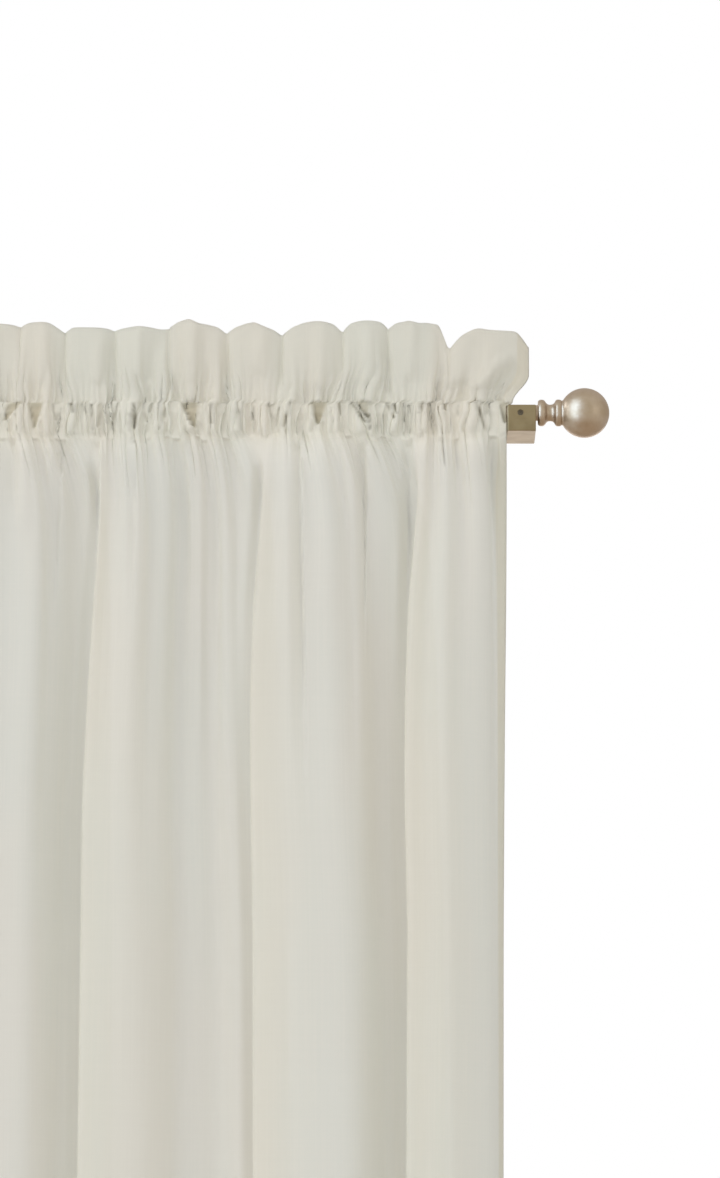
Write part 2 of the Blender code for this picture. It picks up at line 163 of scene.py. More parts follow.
# Weave: two sets of threads that cross, with thick places in the yarn here and there
def weaveGroup():
    inputs = {"Vector": None, "Threads Per Metre": 1400.0, "Slub Strength": 0.5}
    group, start, end = newGroup("crossedWeave", inputs, ("Density", "Height"))
    split = newNode(group, "ShaderNodeSeparateXYZ", {0: start["Vector"]}).outputs
    waves = []
    for axis in ("X", "Y"):
        turn = mathNode(group, "MULTIPLY", split[axis], start["Threads Per Metre"])
        wave = mathNode(group, "SINE", mathNode(group, "MULTIPLY", turn, math.tau))
        waves.append(mathNode(group, "MULTIPLY_ADD", wave, 0.5, 0.5))
    cross = mathNode(group, "MULTIPLY", *waves)
    along, across = 5.0, 420.0       # how closely a yarn's uneven places follow each other
    warp = noiseNode(group, stretched(group, start["Vector"], across, along), 1.0, 3.0)
    weft = noiseNode(group, stretched(group, start["Vector"], along, across), 1.0, 3.0)
    slub = mathNode(group, "ADD", rangeNode(group, warp, 0.35, 0.75, -0.5, 0.5),
                    rangeNode(group, weft, 0.35, 0.75, -0.2, 0.2))
    slub = mathNode(group, "MULTIPLY", slub, start["Slub Strength"])
    density = mathNode(group, "ADD", mathNode(group, "MULTIPLY", cross, 0.35), slub)
    feed(group, end, {"Density": density, "Height": mathNode(group, "ADD", cross, slub)})
    return group


# Satin grain: fine streaks and soft clouds of a plated, brushed metal
def satinGroup():
    inputs = {"Vector": None, "Streak Scale": 900.0, "Cloud Scale": 60.0}
    group, start, end = newGroup("satinGrain", inputs, ("Streaks", "Clouds"))
    drawnOut = stretched(group, start["Vector"], 0.06, 1.0)       # the streaks run along the rod
    feed(group, end, {"Streaks": noiseNode(group, drawnOut, start["Streak Scale"], 3.0),
                      "Clouds": noiseNode(group, start["Vector"], start["Cloud Scale"], 4.0)})
    return group


# Stitching: dashes along one direction of the cloth at one place across it, and the cloth drawn in
# beside them
def stitchGroup():
    inputs = {"Across": 0.0, "Along": 0.0, "Place": 0.0, "Stitches Per Metre": 360.0,
              "Thread Edge": 0.0007, "Pucker Reach": 0.005}
    group, start, end = newGroup("stitchLine", inputs, ("Thread", "Pucker"))
    away = mathNode(group, "ABSOLUTE", mathNode(group, "SUBTRACT", start["Across"], start["Place"]))
    turn = mathNode(group, "MULTIPLY", start["Along"], start["Stitches Per Metre"])
    wave = mathNode(group, "SINE", mathNode(group, "MULTIPLY", turn, math.tau))
    line = rangeNode(group, away, 0.0003, start["Thread Edge"], 1.0, 0.0)
    dash = rangeNode(group, wave, -0.5, 0.0)
    feed(group, end, {"Thread": mathNode(group, "MULTIPLY", line, dash),
                      "Pucker": rangeNode(group, away, 0.0, start["Pucker Reach"], 1.0, 0.0)})
    return group


weave = weaveGroup()
stitching = stitchGroup()
satin = satinGroup()


# Cloth: the curtain as one thin sheet, from the turned hem up the front, over the heading and down
# the back of the pocket. Every column is a line of yarn from hem to heading, and at each side a few
# more columns turn back behind it as the side hem.

curtainValues = {
    "columns": 624,
    "sideHemColumns": 9,
    "hemBackRows": 4,
    "dropRows": ((0, 0.05, 18), (0.057, 0.2, 15), (0.22, 0.5, 11)),   # drops from, to, and rows there
    "longRows": (0.56, 15),     # the same from this drop to the hem's stitching
    "hemRows": (0.06, 3),       # and over this height above the hem's foot
    "pocketRows": (34, 11),     # front and back
    "headingRows": ((0, 0.36, 15), (0.42, 1.0, 10)),   # by shares of the heading's height
    "finishedDrop": 2.134,
    "headingHeight": 0.078,
    "upperStitch": 0.0110,
    "lowerStitch": -0.028,
    "pocketLength": 0.043,      # of cloth from one stitch line to the other, front and back alike
    "topTurn": 0.001,
    "hemHeight": 0.076,
    "pocketLeft": -0.6665,
    "pocketRight": -0.0152,
    "panelLeft": -0.669,
    "panelRight": -0.014,

    "rodClear": 0.0086,         # pocket lining to the rod axis
    "seamOut": (0.0092, 0.0094),   # the lower and upper stitch line in front of the rod axis
    "seamOutFade": 0.06,        # drop over which the panel hangs back from there
    "layerGap": 0.0012,         # front and back layer of the heading
    "layerOpen": 0.08,          # share of the heading's height over which they part
    "topPinch": (0.88, 0.8),    # and from which they close again, by this share
    "sideBehind": (0.0008, 0.0004),   # side hems behind the panel, and behind pocket and heading
    "hemBehind": 0.0009,        # bottom hem's back layer behind the front
    "hemLift": 0.0006,

    "puffHeading": 66,          # degrees that the cloth swings to the left at a puff's left side
    "puffSwings": (-0.10, 0.55, 0.76),   # shares of it at the front's start and end and on the right
    "frontShare": (0.13, 0.86),
    "pinchShare": 0.045,
    "hairpinShare": 0.02,
    "creaseRun": 0.03,
    "puffBack": 0.08,
    "puffDepth": 0.43,          # the puffs are pressed flat to this share of their depth
    "puffMost": 0.100,          # and none stands deeper than one of this flat length
    "stitchFullness": 0.05,     # how much of a puff's bulge is left at the stitch line
    "fullHeight": 0.60,         # shares of the heading's height where the bulge is full
    "spreadHeight": 0.5,        # and where the cloth has spread evenly over the puff

    "firstSettle": 0.062,       # drop over which the gathers open into the long folds
    "lateSettle": 0.26,         # and over which the folds reach their full overlap
    "lateShare": 0.42,
    "foldStart": 0.07,
    "rippleDepth": 0.006,
    "rippleStart": 0.030,
    "rippleFade": 0.085,
    "rowSmooth": (3, 14),       # passes of smoothing along a row, and more of them near the pocket
    "smoothFade": 0.12,
    "seamSmooth": 30,
    "topSmooth": 6,

    "leastLength": 0.38,        # share of the cloth's length that its gathers leave at the least
    "finePitch": 0.0150,        # flat length of cloth in one small gather
    "mediumPitch": 0.055,
    "gatherShares": (0.80, 0.20),   # of the spare cloth, in the small and the middling gathers
    "fineFade": 0.022,
    "mediumFade": 0.24,
    "fineHeading": 0.24,        # share of the heading's height that the small gathers run up
    "headingGather": 0.62,      # how deep the gathers stand, 1 where they take up all the spare cloth
    "pocketGather": 0.62,
    "panelGather": 0.52,
    "sideFade": 0.018,          # they die away towards the side hems
    "tuckCalm": {"heading": 0.80, "pocket": 0.35, "panel": 1.00},   # and by these shares at a tuck
    "tuckReach": 0.048,
    "tuckWide": 1.6,
    "tuckRecess": 0.0045,       # cloth behind a tuck's edge
    "recessReach": 0.015,
    "recessStart": 0.010,

    "pocketSwell": (0.0008, 0.0145),   # front and back of the pocket stand out between their seams
    "pocketPuff": (0.0010, 0.0012),    # and a little more in each puff
    "pocketOpen": (0.35, 0.40),        # over these shares of its height from below and above
    "seamBlend": (0.20, 0.10),
    "pleatFloor": 0.0078,       # no pleat comes nearer to the rod axis than this
    "puckerPitch": 0.0085,      # small uneven puckers in and beside the pocket
    "puckerRun": 0.013,
    "puckerFoot": -0.12,
    "puckerDepth": 0.0007,
    "seamWaver": 0.0025,        # the stitch lines run up and down this much
    "waverPitch": 0.0135,
    "waverFade": 0.02,
    "pocketThick": 1.5,         # how thick the gathers make the cloth look, 1 at the foot of the heading
    "panelThick": 1.2,
}

# The heading, a row for each puff from left to right: right edge along the stitch and along the top,
# cloth gathered in, lean over the puff on its left in degrees, where across it a soft crease runs up
# and how sharp that is, then the height of its top edge at seven places as shares of the heading
puffRows = (
    (-0.613, -0.613, 0.101, 12, 0.60, 0.30, (0.93, 0.99, 1.02, 1.03, 1.01, 0.98, 0.93)),
    (-0.557, -0.558, 0.130, 14, 0.35, 0.35, (0.93, 0.97, 0.99, 1.00, 1.01, 0.97, 0.90)),
    (-0.5015, -0.502, 0.099, 13, 0.55, 0.20, (0.90, 0.98, 1.01, 1.00, 1.00, 0.99, 0.96)),
    (-0.457, -0.458, 0.079, 12, 0.50, 0.45, (0.96, 1.01, 1.02, 1.02, 1.01, 0.94, 0.88)),
    (-0.407, -0.408, 0.126, 14, 0.30, 0.25, (0.88, 0.95, 0.95, 0.95, 0.95, 0.94, 0.91)),
    (-0.354, -0.354, 0.098, 12, 0.62, 0.40, (0.91, 0.94, 0.96, 0.96, 0.95, 0.93, 0.94)),
    (-0.297, -0.296, 0.105, 12, 0.48, 0.45, (0.94, 1.02, 1.06, 1.00, 0.99, 0.96, 0.88)),
    (-0.241, -0.240, 0.128, 13, 0.66, 0.30, (0.87, 0.95, 1.00, 1.02, 0.97, 0.92, 0.85)),
    (-0.190, -0.179, 0.095, 12, 0.70, 0.30, (0.85, 0.95, 1.01, 1.03, 1.03, 1.00, 0.88)),
    (-0.138, -0.135, 0.093, 14, 0.45, 0.25, (0.90, 1.00, 1.03, 1.04, 1.04, 1.03, 0.97)),
    (-0.077, -0.0735, 0.150, 12, 0.50, 0.50, (0.92, 1.01, 1.03, 1.00, 1.01, 0.99, 0.68)),
    (-0.009, 0.0075, 0.116, 3, 0.42, 0.50, (0.64, 0.83, 0.935, 0.915, 0.91, 0.905, 0.70)),
)
topPlaces = (0.0, 0.15, 0.35, 0.50, 0.65, 0.85, 1.0)

# The long folds from left to right: flat length, the way it runs in plan in degrees, and the length
# over which it turns into the next
foldRows = (
    (0.038, -72, 0.026), (0.034, 4, 0.030), (0.040, 56, 0.030), (0.036, 0, 0.022),
    (0.046, -142, 0.012), (0.054, -8, 0.040), (0.062, 8, 0.034), (0.054, 54, 0.034), (0.060, 0, 0.022),
    (0.060, -142, 0.012), (0.039, -1, 0.036), (0.043, 14, 0.034), (0.053, 48, 0.030), (0.046, 4, 0.024),
    (0.034, -42, 0.020), (0.054, 6, 0.022),
    (0.056, -142, 0.012), (0.048, -7, 0.044), (0.054, 8, 0.036), (0.061, 56, 0.034), (0.065, -2, 0.022),
    (0.074, -142, 0.012), (0.054, 1, 0.034), (0.058, 26, 0.030), (0.042, 72, 0.020),
)
tuckNumbers = (4, 9, 16, 21)

# Where each tuck's crisp edge hangs, and the curtain's right edge, for some drops below the pocket
edgePaths = (
    (0.000, -0.595, -0.4250, -0.2620, -0.1100, -0.0140),
    (0.065, -0.597, -0.4235, -0.2665, -0.1080, -0.0145),
    (0.165, -0.600, -0.4315, -0.2740, -0.1180, -0.0155),
    (0.265, -0.602, -0.4370, -0.2755, -0.1205, -0.0170),
    (0.365, -0.604, -0.4410, -0.2735, -0.1200, -0.0180),
    (0.500, -0.606, -0.4410, -0.2700, -0.1165, -0.0190),
    (2.020, -0.600, -0.4490, -0.2620, -0.1220, -0.0230),
)

# Creases and soft folds down the panel: place along the rod where each starts and ends, the drops
# between which it runs, half width, and how far it stands out towards the room (a trough is negative)
creaseRows = (
    (-0.500, -0.498, 0.000, 0.110, 0.0060, 0.0037),
    (-0.452, -0.452, 0.000, 0.700, 0.0160, -0.0060),
    (-0.436, -0.440, 0.000, 0.240, 0.0220, 0.0036),
    (-0.350, -0.346, 0.010, 0.260, 0.0240, 0.0034),
    (-0.262, -0.266, 0.000, 0.320, 0.0280, 0.0070),
    (-0.216, -0.212, 0.000, 0.280, 0.0220, 0.0036),
    (-0.074, -0.071, 0.000, 1.200, 0.0240, 0.0056),
    (-0.335, -0.333, 0.000, 0.300, 0.0040, 0.0022),
    (-0.322, -0.321, 0.010, 0.330, 0.0035, 0.0020),
    (-0.310, -0.311, 0.000, 0.260, 0.0045, 0.0024),
    (-0.292, -0.286, 0.000, 1.400, 0.0120, -0.0035),
    (-0.182, -0.176, 0.000, 0.100, 0.0030, -0.0020),
    (-0.171, -0.168, 0.060, 0.360, 0.0050, -0.0024),
    (-0.148, -0.146, 0.120, 0.900, 0.0110, -0.0030),
    (-0.081, -0.080, 0.000, 0.060, 0.0040, 0.0024),
    (-0.036, -0.024, 0.000, 0.300, 0.0030, 0.0020),
)

# Crisp edges where the cloth steps forward: as above, but with the width of the dark slope on the left
stepRows = (
    (-0.423, -0.430, 0.000, 0.220, 0.011, 0.0060),
    (-0.260, -0.271, 0.025, 0.240, 0.011, 0.0034),
    (-0.110, -0.116, 0.000, 0.200, 0.011, 0.0060),
    (-0.461, -0.470, 0.012, 0.190, 0.012, 0.0048),
    (-0.508, -0.506, 0.000, 0.090, 0.010, 0.0050),
    (-0.388, -0.388, 0.000, 0.200, 0.009, 0.0058),
    (-0.334, -0.333, 0.000, 0.220, 0.008, 0.0030),
    (-0.223, -0.215, 0.000, 0.400, 0.014, 0.0090),
    (-0.157, -0.158, 0.000, 0.260, 0.012, 0.0084),
    (-0.079, -0.077, 0.000, 0.070, 0.008, 0.0042),
    (-0.065, -0.064, 0.000, 0.060, 0.006, 0.0036),
    (-0.028, -0.029, 0.008, 0.110, 0.009, 0.0030),
    (-0.031, -0.023, 0.000, 1.500, 0.045, 0.0060),
)

# The same in the heading, by shares of its height: places at the lower and the upper end, then the two
headingCreases = (
    (-0.484, -0.479, 0.15, 1.10, 0.0070, 0.0028),
    (-0.426, -0.420, 0.20, 1.10, 0.0070, 0.0026),
    (-0.384, -0.384, 0.25, 1.30, 0.0060, 0.0034),
    (-0.373, -0.360, 0.20, 1.10, 0.0070, -0.0030),
    (-0.334, -0.328, 0.15, 1.30, 0.0080, 0.0038),
    (-0.266, -0.258, 0.30, 1.10, 0.0080, 0.0026),
    (-0.206, -0.203, 0.10, 1.15, 0.0080, 0.0030),
    (-0.158, -0.152, 0.15, 1.10, 0.0080, 0.0028),
    (-0.112, -0.109, 0.20, 1.35, 0.0060, 0.0042),
    (-0.062, -0.056, 0.20, 1.40, 0.0180, 0.0048),
    (-0.050, -0.003, 0.10, 0.80, 0.0085, 0.0040),
    (-0.030, 0.004, 0.10, 0.60, 0.0085, -0.0022),
    (-0.050, -0.036, 0.25, 1.10, 0.0110, -0.0026),
)

# Deep pleats in the pocket where the cloth lies tight on the rod: place along the rod at the top,
# half width there, top and bottom height, sideways run to the bottom, and how thin the cloth is drawn
# there, which also sets how dark its painted shade is
pocketPleats = (
    (-0.647, 0.003, 0.006, -0.018, 0.002, 0.6), (-0.601, 0.007, 0.009, -0.014, 0.003, 1.0),
    (-0.57, 0.0022, 0.005, -0.02, -0.001, 0.4), (-0.533, 0.0026, 0.006, -0.016, 0.003, 0.5),
    (-0.508, 0.0064, 0.009, -0.01, -0.01, 0.9), (-0.487, 0.0068, 0.009, -0.018, -0.001, 1.0),
    (-0.47, 0.0018, 0.008, -0.01, 0.003, 0.3), (-0.462, 0.0018, 0.004, -0.022, -0.003, 0.2),
    (-0.452, 0.002, 0.01, -0.003, 0.003, 0.6), (-0.441, 0.002, 0.009, -0.002, 0.005, 0.5),
    (-0.431, 0.0024, 0.007, -0.022, 0.001, 0.9), (-0.422, 0.0018, 0.002, -0.018, -0.003, 0.2),
    (-0.4045, 0.0022, 0.009, -0.022, -0.007, 0.6), (-0.3885, 0.0026, 0.008, -0.02, 0.001, 1.0),
    (-0.378, 0.0018, 0.006, -0.012, 0.003, 0.2), (-0.37, 0.002, 0.01, -0.002, -0.003, 0.4),
    (-0.357, 0.0022, 0.003, -0.02, -0.006, 0.2),
    (-0.333, 0.0085, 0.01, -0.017, 0.005, 1.0), (-0.312, 0.0018, 0.008, -0.014, 0.001, 0.2),
    (-0.2835, 0.0024, 0.009, -0.022, 0.002, 0.7), (-0.268, 0.0018, 0.006, -0.01, -0.002, 0.3),
    (-0.254, 0.0018, 0.009, -0.008, 0.004, 0.2), (-0.243, 0.002, 0.004, -0.016, -0.003, 0.2),
    (-0.2315, 0.0024, 0.011, -0.02, -0.008, 0.5), (-0.203, 0.0085, 0.011, -0.014, -0.001, 1.0),
    (-0.183, 0.0018, 0.008, -0.006, 0.002, 0.2),
    (-0.171, 0.0026, 0.01, -0.014, 0.016, 1.0), (-0.16, 0.006, 0.01, -0.008, 0.006, 0.5),
    (-0.152, 0.002, -0.003, -0.021, 0.0, 0.6), (-0.136, 0.0022, 0.01, -0.009, 0.009, 0.6),
    (-0.128, 0.0018, 0.008, -0.004, 0.003, 0.4), (-0.1135, 0.0024, 0.01, -0.012, -0.004, 1.0),
    (-0.099, 0.0024, 0.01, -0.004, -0.003, 0.7), (-0.088, 0.0018, 0.004, -0.016, 0.0, 0.2),
    (-0.077, 0.0018, 0.009, 0.001, 0.0, 0.4), (-0.064, 0.0018, 0.007, -0.006, 0.0, 0.3),
    (-0.046, 0.0024, 0.012, -0.021, 0.01, 0.8), (-0.034, 0.0022, 0.01, -0.004, -0.001, 0.6),
    (-0.0175, 0.0052, 0.011, -0.013, 0.001, 0.7),
)


# One puff in plan: it swings forward from its left seam, lies across its front with a soft crease and
# swings back to its right seam
def puffCurve(row, v):
    lean, creaseAt, crease = row[3:6]
    pinch, hairpin, run = v["pinchShare"], v["hairpinShare"], v["creaseRun"]
    (start, end), (left, right, last) = v["frontShare"], v["puffSwings"]
    share = np.linspace(0.0, 1.0, 401)
    level = left + (right - left) * (creaseAt - start) / (end - start)
    corners = (0.0, hairpin, pinch, start, creaseAt - run, creaseAt + run, end, 1 - pinch, 1 - hairpin, 1.0)
    swings = (0, -1, -1, left, level - crease / 2, level + crease / 2, right, last, last, 0)
    heading = np.radians(v["puffHeading"] * np.interp(share, corners, swings) - lean)
    middle = (heading[1:] + heading[:-1]) / 2
    along = np.concatenate(([0.0], np.cumsum(np.cos(middle)))) / len(middle)
    depth = np.concatenate(([0.0], np.cumsum(np.sin(middle)))) / len(middle)
    return share, along / along[-1], depth - share * depth[-1]


# The long folds in plan, with the place of each tuck's crisp edge and the flat length at its middle
def foldCurve(v):
    step = 0.0005
    ends = np.cumsum([row[0] for row in foldRows])
    flat = np.arange(0.0, ends[-1] + step / 2, step)
    heading = np.full_like(flat, foldRows[0][1])
    for place, before, after in zip(ends, foldRows, foldRows[1:]):
        heading += (after[1] - before[1]) * smooth((flat - place) / before[2] + 0.5)
    middle = np.radians((heading[1:] + heading[:-1]) / 2)
    along = np.concatenate(([0.0], np.cumsum(np.cos(middle) * step)))
    depth = np.concatenate(([0.0], np.cumsum(np.sin(middle) * step)))
    along = v["panelLeft"] + along * (v["panelRight"] - v["panelLeft"]) / along[-1]
    depth = depth - (depth.max() + depth.min()) / 2
    tucks = [ends[number] - foldRows[number][0] / 2 for number in tuckNumbers]
    near = [abs(flat - ends[number]) < foldRows[number][0] / 2 for number in tuckNumbers]
    return flat, along, depth, [along[part].min() for part in near], tucks, ends


# Where each column hangs at some drop, with the tucks' edges where the paths have them
def foldedPlaces(c, v, drop):
    drops, *paths = zip(*edgePaths)
    wanted = [np.interp(drop, drops, path) for path in paths]
    found = [*c["edges"], v["panelRight"]]
    shifts = [w - f for w, f in zip(wanted, found)]
    return c["foldX"] + np.interp(c["foldX"], [v["panelLeft"], *found], [0.0, *shifts])


def clothColumns(v):
    ends = np.cumsum([0.0] + [row[2] for row in puffRows])
    flat = np.linspace(0.0, ends[-1], v["columns"] + 1)
    puffOf = np.clip(np.searchsorted(ends, flat, side="right") - 1, 0, len(puffRows) - 1)
    share = (flat - ends[puffOf]) / np.diff(ends)[puffOf]
    top = np.array([v["pocketLeft"]] + [row[1] for row in puffRows])
    c = {"flat": flat, "share": share}
    c["fine"], c["medium"] = gatherWave(flat, v["finePitch"], 11), gatherWave(flat, v["mediumPitch"], 5)
    c["inside"] = smooth(np.minimum(flat, flat[-1] - flat) / v["sideFade"])
    c["topLeft"] = top[puffOf]
    c["topWidth"] = np.diff(top)[puffOf]
    c["puffX"], c["puffY"], c["topHeight"] = (np.zeros(len(flat)) for _ in range(3))
    for number, row in enumerate(puffRows):
        mine = puffOf == number
        shares, along, depth = puffCurve(row, v)
        c["puffX"][mine] = np.interp(share[mine], shares, along)
        c["puffY"][mine] = np.interp(share[mine], shares, depth) + v["puffBack"]
        c["puffY"][mine] *= min(row[2], v["puffMost"]) * v["puffDepth"]
        c["topHeight"][mine] = np.interp(c["puffX"][mine], topPlaces, row[6])
    c["topHeight"] = blur(c["topHeight"], v["topSmooth"])
    foldFlat, foldX, foldY, c["edges"], tucks, foldEnds = foldCurve(v)
    stretch = foldFlat[-1] / flat[-1]
    turns = [(foldEnds[number - 1] / stretch, foldEnds[number] / stretch) for number in tuckNumbers]
    c["edgeOf"] = [abs(flat - turn) < (turn - back) / 2 for back, turn in turns]
    c["behind"] = [smooth((turn - flat) / (turn - back)) for back, turn in turns]
    tuck = sum(bell(flat - tuck / stretch, v["tuckReach"]) for tuck in tucks)
    c["tuck"] = np.clip(v["tuckWide"] * tuck, 0.0, 1.0)
    c["foldX"] = np.interp(flat * stretch, foldFlat, foldX)
    c["foldY"] = np.interp(flat * stretch, foldFlat, foldY)
    stitch = np.array([v["pocketLeft"]] + [row[0] for row in puffRows])
    scale = (v["pocketRight"] - v["pocketLeft"]) / (stitch[-1] - stitch[0])
    pocket = v["pocketLeft"] + (stitch - stitch[0]) * scale
    c["stitchX"], c["pocketX"] = (blur(np.interp(flat, ends, x), v["seamSmooth"]) for x in (stitch, pocket))
    return c


# Random heights on a lattice, read smoothly between its points
puckerLattice = np.random.default_rng(3).uniform(-1.0, 1.0, (200, 24))
waverLattice = np.random.default_rng(8).uniform(-1.0, 1.0, (120, 2))


def latticeRead(lattice, across, upward):
    i, j = np.floor(across).astype(int), math.floor(upward)
    s, t = smooth(across - i), smooth(upward - j)
    lower = lattice[i, j] * (1 - s) + lattice[i + 1, j] * s
    upper = lattice[i, j + 1] * (1 - s) + lattice[i + 1, j + 1] * s
    return lower * (1 - t) + upper * t


def seamWaver(c, v, line):
    column = {"lower": 0.0, "upper": 0.999}[line]       # each line has its own column of the lattice
    return v["seamWaver"] * latticeRead(waverLattice, c["flat"] / v["waverPitch"], column)


# Gathers that are never quite alike: a phase that runs on unevenly along the cloth
def gatherWave(flat, pitch, seed):
    rng = np.random.default_rng(seed)
    phase = 2 * math.pi * flat / pitch
    strength = np.ones_like(flat)
    for turns, amount in ((13.2, 1.4), (4.9, 1.0), (2.2, 0.55)):
        reach = turns * pitch
        phase += amount * np.sin(2 * math.pi * flat / reach + rng.uniform(0, math.tau))
        strength += 0.14 * np.sin(2 * math.pi * flat / (0.7 * reach) + rng.uniform(0, math.tau))
    local = 2 * math.pi / np.gradient(phase, flat)
    return phase, local, np.clip(strength, 0.75, 1.15)


# The small gathers lean this way and that as they run up the cloth: an angle added to their phase
def wander(flat, z):
    rng = np.random.default_rng(21)
    angle = np.zeros_like(flat)
    for across, upward, amount in ((0.170, 0.085, 1.8), (0.083, 0.051, 1.0), (0.041, 0.031, 0.4)):
        sideways, upwards = rng.uniform(0, math.tau, 2)
        swing = amount * math.sin(math.tau * z / upward + upwards)
        angle += swing * np.sin(math.tau * flat / across + sideways)
    return angle


# Takes up the cloth that a row's curve leaves over, as pleats along it
def gather(flat, x, y, waves, strength, least):
    for (phase, pitch, uneven), takenUp in waves:
        dx, dy = np.gradient(x, flat), np.gradient(y, flat)
        length = np.hypot(dx, dy)
        kept = np.clip(length, least, 1.0) ** takenUp
        swing = 2 * np.sqrt(1 - kept) * (1 + 0.15 * (1 - kept)) * uneven * strength
        wave = bessel(1, swing) * np.cos(phase) + bessel(3, swing) / 3 * np.cos(3 * phase)
        across = -pitch / math.pi * wave
        along = pitch / math.tau * bessel(2, swing) * np.sin(2 * phase)
        x, y = (x + (dx * along - dy * across) / length, y + (dy * along + dx * across) / length)
    return x, y


def shifted(x, y, distance):
    dx, dy = np.gradient(x), np.gradient(y)
    length = np.hypot(dx, dy)
    return x - dy / length * distance, y + dx / length * distance


# The gathers at one height in heading, pocket or panel, with the puckers over them. Small and medium
# are how much of each kind there is. Below the pocket the small ones run straight down.
def gathered(c, v, x, y, z, small, medium, part):
    loose = c["inside"] * (1 - v["tuckCalm"][part] * c["tuck"])
    strength = v[f"{part}Gather"] * loose
    least = v["leastLength"]
    if small == 0:
        return gather(c["flat"], x, y, ((c["medium"], medium),), strength, least)
    phase, pitch, uneven = c["fine"]
    leaning = (phase + wander(c["flat"], max(z, v["lowerStitch"])), pitch, uneven)
    shares = ((leaning, v["gatherShares"][0] * small), (c["medium"], medium))
    x, y = gather(c["flat"], x, y, shares, strength, least)
    upward = (z - v["puckerFoot"]) / v["puckerRun"]
    height = latticeRead(puckerLattice, c["flat"] / v["puckerPitch"], upward)
    return shifted(x, y, height * v["puckerDepth"] * small * loose)


# Each row of the sheet gives x, y and z, and how far its cloth is drawn thin, gathered and darkened with
# painted shade

def headingRow(c, v, height, side):
    start = v["stitchFullness"]
    fullness = start + (1 - start) * smooth(height / v["fullHeight"])
    full = c["topLeft"] + c["topWidth"] * c["puffX"]
    plain = c["topLeft"] + c["topWidth"] * c["share"]
    spread = c["stitchX"] + (plain - c["stitchX"]) * smooth(height / v["spreadHeight"])
    x = spread + (full - plain) * fullness
    y = c["puffY"] * fullness - v["seamOut"][1] - creases(headingCreases, x, height)
    fine = math.exp(-(height / v["fineHeading"]) ** 1.5)
    level = v["upperStitch"] + v["headingHeight"] * height
    medium = v["gatherShares"][1] * (1 - smooth(height))
    x, y = gathered(c, v, x, y, level, fine, medium, "heading")
    closeAt, closed = v["topPinch"]
    opened = smooth(height / v["layerOpen"]) * (1 - closed * smooth((height - closeAt) / (1 - closeAt)))
    x, y = shifted(x, y, side * v["layerGap"] / 2 * opened)
    z = v["upperStitch"] + v["headingHeight"] * height * c["topHeight"]
    z += seamWaver(c, v, "upper") * (1 - height)
    return x, y, z, np.zeros_like(x), np.full_like(x, fine), np.zeros_like(x)


pleatValues = {
    "wideFrom": 0.003,          # half width from which a pleat is a wide one, fully so at its double
    "depth": (0.0035, 0.0085),  # of a narrow pleat, and how much deeper a wide one is
    "topFade": 0.002,
    "footFade": 0.12,           # share of its height
    "narrowing": 0.95,          # share of its width that a wide one loses downwards
    "lens": (0.62, 0.06, 0.88), # a narrow one's width at its middle, and the part of a half wave it follows
    "leastWidth": 0.0002,
    "lip": (0.0011, 0.0013),    # how far its right side stands out, and how wide that is
    "shade": (0.25, 0.55),      # of a narrow one, and how much darker where the cloth is drawn tight
    "line": (0.7, 0.0017),      # shade along a wide one's left side, and how wide that is
}


# Pleats in the pocket's front: a wide one is a wedge that narrows downwards and lets light through, a
# narrow one runs out thin at both ends. Painted shade darkens a narrow one along its length and a wide one
# down its left side
def pleated(v, x, y, z):
    thinAndShaded, shade = np.zeros_like(x), np.zeros_like(x)
    narrow, deeper = v["depth"]
    middle, lensFrom, lensRun = v["lens"]
    lipOut, lipWidth = v["lip"]
    light, darker = v["shade"]
    lineShade, lineWidth = v["line"]
    for place, halfWidth, top, bottom, run, drawnAndShaded in pocketPleats:
        down = np.clip((top - z) / (top - bottom), 0.0, 1.0)
        fromTop = smooth((top - z) / v["topFade"] + 0.5)
        shown = fromTop * smooth((z - bottom) / (v["footFade"] * (top - bottom)))
        wide = smooth((halfWidth - v["wideFrom"]) / v["wideFrom"])
        wedge = 1 - v["narrowing"] * down
        lens = middle * np.sqrt(np.sin(math.pi * np.clip(lensFrom + lensRun * down, 0.0, 1.0)))
        width = halfWidth * (wedge * wide + lens * (1 - wide)) + v["leastWidth"]
        across = x - place - run * down
        trough = np.exp(-(np.abs(across) / width) ** (2 + 3 * wide)) * shown
        lip = bell(across - 2.0 * width - 0.0004, lipWidth) * shown
        line = bell(across + 0.85 * width, lineWidth) * shown * smooth(down / 0.3)
        y = y + trough * (narrow + deeper * wide) - lipOut * lip
        thinAndShaded = np.maximum(thinAndShaded, trough * drawnAndShaded * wide)
        shaded = trough * (1 - wide) * (light + darker * drawnAndShaded) + lineShade * line * wide
        shade = np.maximum(shade, shaded)
    return y, thinAndShaded, shade


